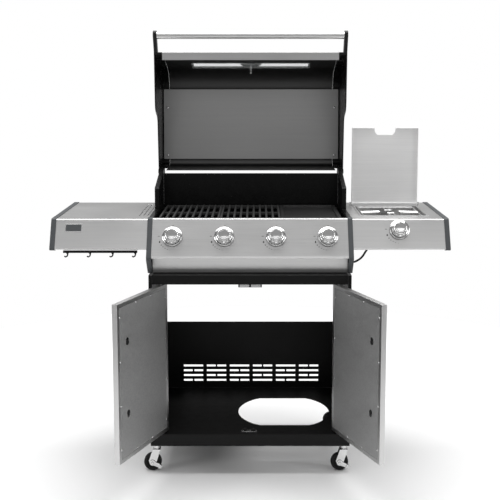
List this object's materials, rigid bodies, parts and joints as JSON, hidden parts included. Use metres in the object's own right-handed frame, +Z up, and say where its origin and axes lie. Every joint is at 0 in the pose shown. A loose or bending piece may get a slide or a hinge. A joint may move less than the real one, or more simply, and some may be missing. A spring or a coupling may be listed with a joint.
{
  "type": "gas barbecue grill",
  "caption": "Freestanding gas barbecue on a cabinet cart, with hinged hood, folding-lid side burner, side shelves, doors and swivel casters; shown fully open.",
  "frame": {"origin": "centre of the overall box, on the floor under the wheels", "axes": "+Z up, +X to the right seen from the front, +Y to the rear; the front with doors and knobs faces -Y"},
  "size_m": [1.32, 0.9022, 1.4938],
  "materials": {
    "brushed_steel": "satin, brushed along the width",
    "grey_liner": "satin",
    "chrome": "polished",
    "black_paint": "satin powder coat",
    "enamel": "gloss enamel",
    "cap_paint": "satin",
    "cast_iron": "matte",
    "rubber": "matte",
    "glass": "clear"
  },
  "bodies": {
    "root": {"base_shelf": "black_paint", "side_panel_left": "black_paint", "side_panel_right": "black_paint", "back_panel": "black_paint", "front_rail": "black_paint", "control_panel": "brushed_steel", "panel_cap_left": "cap_paint", "panel_cap_right": "cap_paint", "firebox": "enamel", "side_casing_left": "enamel", "side_casing_right": "enamel", "burner_set": "brushed_steel", "grate_left": "cast_iron", "grate_middle": "cast_iron", "griddle": "cast_iron", "gas_manifold": "grey_liner", "side_burner_hose": "rubber", "left_shelf": "brushed_steel", "left_shelf_cap": "cap_paint", "hook_rail": "black_paint", "right_shelf": "brushed_steel", "right_shelf_cap": "cap_paint", "side_burner_tray": "brushed_steel", "side_burner": "cast_iron", "pan_support": "chrome"},
    "lid": {"lid_shell": "brushed_steel", "lid_liner": "brushed_steel", "lid_window": "glass", "thermometer": "chrome", "lid_cap_left": "enamel", "lid_cap_right": "enamel", "lid_handle_bar": "brushed_steel"},
    "side_lid": {"side_burner_lid": "brushed_steel"},
    "door_left": {"door_skin_left": "brushed_steel", "door_liner_left": "grey_liner", "door_handle_left": "brushed_steel"},
    "door_right": {"door_skin_right": "brushed_steel", "door_liner_right": "grey_liner", "door_handle_right": "brushed_steel"},
    "grease_drawer": {"grease_tray": "grey_liner"},
    "press_1": {"spindle_1": "chrome"},
    "turn_1": {"knob_1": "chrome"},
    "press_2": {"spindle_2": "chrome"},
    "turn_2": {"knob_2": "chrome"},
    "press_3": {"spindle_3": "chrome"},
    "turn_3": {"knob_3": "chrome"},
    "press_4": {"spindle_4": "chrome"},
    "turn_4": {"knob_4": "chrome"},
    "press_side_burner": {"spindle_side_burner": "chrome"},
    "turn_side_burner": {"knob_side_burner": "chrome"},
    "fork_front_left": {"caster_fork_front_left": "chrome"},
    "wheel_front_left": {"caster_wheel_front_left": "rubber"},
    "fork_front_right": {"caster_fork_front_right": "chrome"},
    "wheel_front_right": {"caster_wheel_front_right": "rubber"},
    "fork_rear_left": {"caster_fork_rear_left": "chrome"},
    "wheel_rear_left": {"caster_wheel_rear_left": "rubber"},
    "fork_rear_right": {"caster_fork_rear_right": "chrome"},
    "wheel_rear_right": {"caster_wheel_rear_right": "rubber"},
    "brake_front_left": {"caster_brake_front_left": "chrome"},
    "brake_front_right": {"caster_brake_front_right": "chrome"}
  },
  "joints": [
    {"name": "lid_hinge", "type": "hinge", "parent": "root", "child": "lid", "pos_m": [0, 0.30592, 0.977], "axis": [1, 0, 0], "range_deg": [0, 86]},
    {"name": "side_lid_hinge", "type": "hinge", "parent": "root", "child": "side_lid", "pos_m": [0.489, 0.19792, 0.8685], "axis": [1, 0, 0], "range_deg": [0, 90]},
    {"name": "door_hinge_left", "type": "hinge", "parent": "root", "child": "door_left", "pos_m": [-0.293, -0.18008, 0.146], "axis": [0, 0, 1], "range_deg": [0, 113]},
    {"name": "door_hinge_right", "type": "hinge", "parent": "root", "child": "door_right", "pos_m": [0.293, -0.18008, 0.146], "axis": [0, 0, -1], "range_deg": [0, 113]},
    {"name": "knob_press_1", "type": "slide", "parent": "root", "child": "press_1", "axis": [0, 0.874, -0.486], "range_m": [0, 0.004], "stiffness_N_per_m": 1500},
    {"name": "knob_turn_1", "type": "hinge", "parent": "press_1", "child": "turn_1", "pos_m": [-0.2565, -0.16969, 0.81234], "axis": [0, -0.874, 0.486], "range_deg": [0, 210]},
    {"name": "knob_press_2", "type": "slide", "parent": "root", "child": "press_2", "axis": [0, 0.874, -0.486], "range_m": [0, 0.004], "stiffness_N_per_m": 1500},
    {"name": "knob_turn_2", "type": "hinge", "parent": "press_2", "child": "turn_2", "pos_m": [-0.0855, -0.16969, 0.81234], "axis": [0, -0.874, 0.486], "range_deg": [0, 210]},
    {"name": "knob_press_3", "type": "slide", "parent": "root", "child": "press_3", "axis": [0, 0.874, -0.486], "range_m": [0, 0.004], "stiffness_N_per_m": 1500},
    {"name": "knob_turn_3", "type": "hinge", "parent": "press_3", "child": "turn_3", "pos_m": [0.0855, -0.16969, 0.81234], "axis": [0, -0.874, 0.486], "range_deg": [0, 210]},
    {"name": "knob_press_4", "type": "slide", "parent": "root", "child": "press_4", "axis": [0, 0.874, -0.486], "range_m": [0, 0.004], "stiffness_N_per_m": 1500},
    {"name": "knob_turn_4", "type": "hinge", "parent": "press_4", "child": "turn_4", "pos_m": [0.2565, -0.16969, 0.81234], "axis": [0, -0.874, 0.486], "range_deg": [0, 210]},
    {"name": "knob_press_side_burner", "type": "slide", "parent": "root", "child": "press_side_burner", "axis": [0, 0.9, -0.436], "range_m": [0, 0.004], "stiffness_N_per_m": 1500},
    {"name": "knob_turn_side_burner", "type": "hinge", "parent": "press_side_burner", "child": "turn_side_burner", "pos_m": [0.494, -0.15474, 0.83272], "axis": [0, -0.9, 0.436], "range_deg": [0, 210]},
    {"name": "caster_swivel_front_left", "type": "hinge", "parent": "root", "child": "fork_front_left", "pos_m": [-0.318, -0.14508, 0.076], "axis": [0, 0, 1], "continuous": true},
    {"name": "wheel_spin_front_left", "type": "hinge", "parent": "fork_front_left", "child": "wheel_front_left", "pos_m": [-0.332, -0.14508, 0.03], "axis": [0, 1, 0], "continuous": true},
    {"name": "caster_swivel_front_right", "type": "hinge", "parent": "root", "child": "fork_front_right", "pos_m": [0.318, -0.14508, 0.076], "axis": [0, 0, 1], "continuous": true},
    {"name": "wheel_spin_front_right", "type": "hinge", "parent": "fork_front_right", "child": "wheel_front_right", "pos_m": [0.304, -0.14508, 0.03], "axis": [0, 1, 0], "continuous": true},
    {"name": "caster_swivel_rear_left", "type": "hinge", "parent": "root", "child": "fork_rear_left", "pos_m": [-0.318, 0.24192, 0.076], "axis": [0, 0, 1], "continuous": true},
    {"name": "wheel_spin_rear_left", "type": "hinge", "parent": "fork_rear_left", "child": "wheel_rear_left", "pos_m": [-0.332, 0.24192, 0.03], "axis": [0, 1, 0], "continuous": true},
    {"name": "caster_swivel_rear_right", "type": "hinge", "parent": "root", "child": "fork_rear_right", "pos_m": [0.318, 0.24192, 0.076], "axis": [0, 0, 1], "continuous": true},
    {"name": "wheel_spin_rear_right", "type": "hinge", "parent": "fork_rear_right", "child": "wheel_rear_right", "pos_m": [0.304, 0.24192, 0.03], "axis": [0, 1, 0], "continuous": true},
    {"name": "brake_lever_front_left", "type": "hinge", "parent": "fork_front_left", "child": "brake_front_left", "pos_m": [-0.332, -0.14508, 0.03], "axis": [0, 1, 0], "range_deg": [0, 12]},
    {"name": "brake_lever_front_right", "type": "hinge", "parent": "fork_front_right", "child": "brake_front_right", "pos_m": [0.304, -0.14508, 0.03], "axis": [0, 1, 0], "range_deg": [0, 12]},
    {"name": "grease_tray_slide", "type": "slide", "parent": "root", "child": "grease_drawer", "axis": [0, 1, 0], "range_m": [0, 0.25]}
  ]
}
